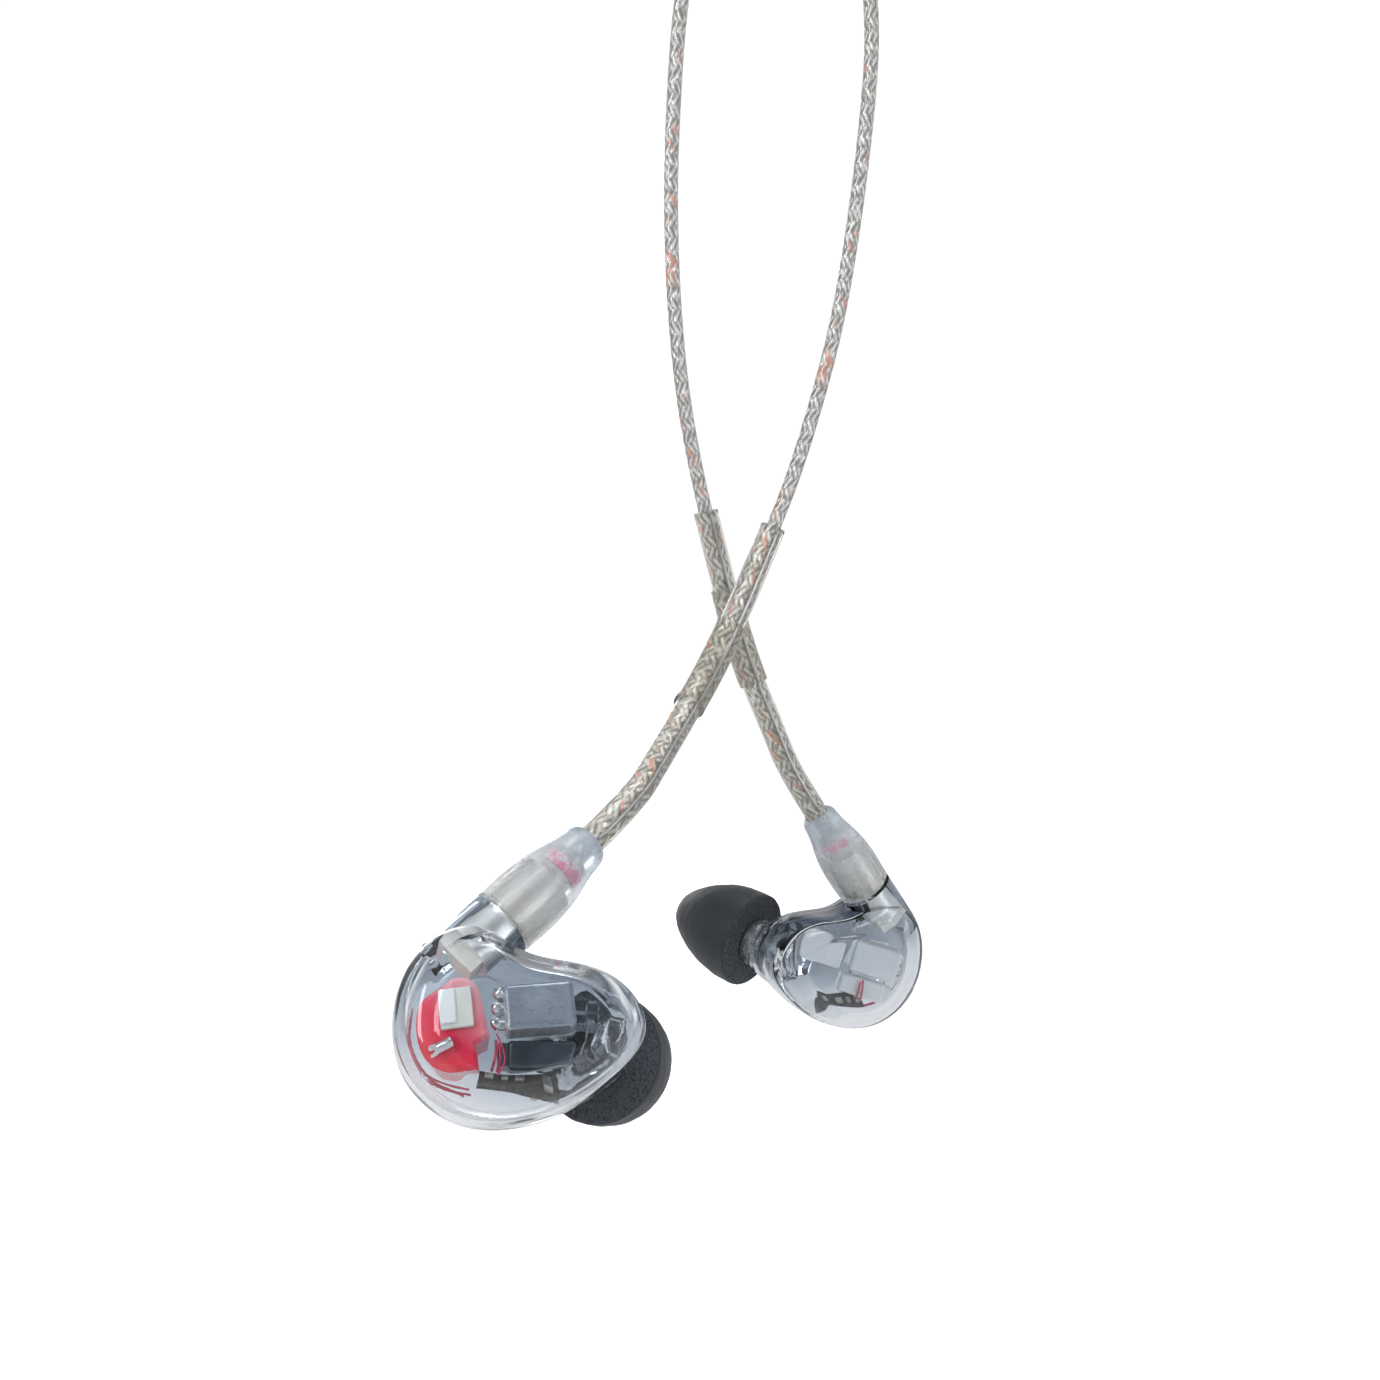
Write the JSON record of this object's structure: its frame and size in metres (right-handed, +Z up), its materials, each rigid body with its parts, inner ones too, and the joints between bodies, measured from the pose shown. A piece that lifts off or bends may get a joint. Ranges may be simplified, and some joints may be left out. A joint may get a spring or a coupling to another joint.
{
  "type": "in ear monitors",
  "caption": "In-ear monitors with clear shells, foam tips and swivelling boots on a braided cable with ear hooks, chin slider, splitter and wound trunk ending in a plug.",
  "frame": {"origin": "centre of the wound cable coil, which hangs over a peg", "axes": "+Z up, +X to the side of the slider pair and the viewer of the faceplate looks along +Y"},
  "size_m": [0.0581, 0.0763, 0.2374],
  "materials": {
    "clear_shell": "polished clear",
    "clear_duct": "clear",
    "clear_sleeve": "soft clear",
    "frosted_boot": "frosted",
    "housing_red": "translucent tinted resin",
    "housing_clear": "translucent resin",
    "damper": "fine felt",
    "driver_steel": "fine brushed",
    "nozzle_metal": "turned",
    "connector_metal": "nickel plated",
    "contact_gold": "gold plated",
    "memory_wire": "drawn wire",
    "screen_mesh": "woven mesh",
    "chip_metal": "tinned",
    "board_black": "satin",
    "insulator": "satin",
    "enamel_wire": "enamel over copper",
    "tip_foam": "slow-recovery foam",
    "tip_core": "soft grey tube",
    "braided_cable": "silver braid under clear jacket",
    "moulded_grey": "satin",
    "tie_rubber": "soft"
  },
  "bodies": {
    "cable": {"splitter": "moulded_grey", "trunk_lead": "braided_cable", "plug_lead": "braided_cable", "coil": "braided_cable", "coil_tie": "tie_rubber", "plug_body": "moulded_grey", "plug_contacts": "contact_gold", "plug_insulators": "insulator", "left_strand": "braided_cable", "left_hook_sleeve": "clear_sleeve", "left_hook_wire": "memory_wire", "left_hook_collar": "clear_sleeve", "left_boot": "frosted_boot", "left_plug_shell": "connector_metal", "left_plug_pin": "contact_gold", "right_strand": "braided_cable", "right_hook_sleeve": "clear_sleeve", "right_hook_wire": "memory_wire", "right_hook_collar": "clear_sleeve", "right_boot": "frosted_boot", "right_plug_shell": "connector_metal", "right_plug_pin": "contact_gold"},
    "slider": {"slider": "moulded_grey"},
    "left_snap_ring": {"left_snap_ring": "connector_metal"},
    "left_earphone": {"left_faceplate": "clear_shell", "left_inner_shell": "clear_shell", "left_nozzle": "nozzle_metal", "left_nozzle_screen": "screen_mesh", "left_woofer": "driver_steel", "left_mid_driver": "driver_steel", "left_tweeter": "driver_steel", "left_acoustic_housing": "housing_red", "left_damper_pad": "damper", "left_sound_duct": "clear_duct", "left_circuit_board": "board_black", "left_board_components": "chip_metal", "left_wires": "enamel_wire", "left_jack_body": "connector_metal", "left_jack_block": "insulator"},
    "left_ear_tip": {"left_foam_tip": "tip_foam", "left_tip_core": "tip_core"},
    "right_snap_ring": {"right_snap_ring": "connector_metal"},
    "right_earphone": {"right_faceplate": "clear_shell", "right_inner_shell": "clear_shell", "right_nozzle": "nozzle_metal", "right_nozzle_screen": "screen_mesh", "right_woofer": "driver_steel", "right_mid_driver": "driver_steel", "right_tweeter": "driver_steel", "right_acoustic_housing": "housing_clear", "right_damper_pad": "damper", "right_sound_duct": "clear_duct", "right_circuit_board": "board_black", "right_board_components": "chip_metal", "right_wires": "enamel_wire", "right_jack_body": "connector_metal", "right_jack_block": "insulator"},
    "right_ear_tip": {"right_foam_tip": "tip_foam", "right_tip_core": "tip_core"}
  },
  "joints": [
    {"name": "slider_travel", "type": "slide", "parent": "cable", "child": "slider", "axis": [0, 0, -1], "range_m": [0, 0.008]},
    {"name": "left_swivel", "type": "hinge", "parent": "cable", "child": "left_snap_ring", "pos_m": [-0.0251, -0.034, -0.1973], "axis": [0.6322, 0.5342, 0.5612], "continuous": true},
    {"name": "left_unplug", "type": "slide", "parent": "left_snap_ring", "child": "left_earphone", "axis": [-0.6322, -0.5342, -0.5612], "range_m": [0, 0.006]},
    {"name": "left_tip_pull", "type": "slide", "parent": "left_earphone", "child": "left_ear_tip", "axis": [0.281, 0.8931, -0.3512], "range_m": [0, 0.009]},
    {"name": "right_swivel", "type": "hinge", "parent": "cable", "child": "right_snap_ring", "pos_m": [0.0163, 0.0165, -0.2014], "axis": [-0.5366, -0.2518, 0.8054], "continuous": true},
    {"name": "right_unplug", "type": "slide", "parent": "right_snap_ring", "child": "right_earphone", "axis": [0.5366, 0.2518, -0.8054], "range_m": [0, 0.006]},
    {"name": "right_tip_pull", "type": "slide", "parent": "right_earphone", "child": "right_ear_tip", "axis": [-0.7531, 0.6061, 0.256], "range_m": [0, 0.009]}
  ]
}
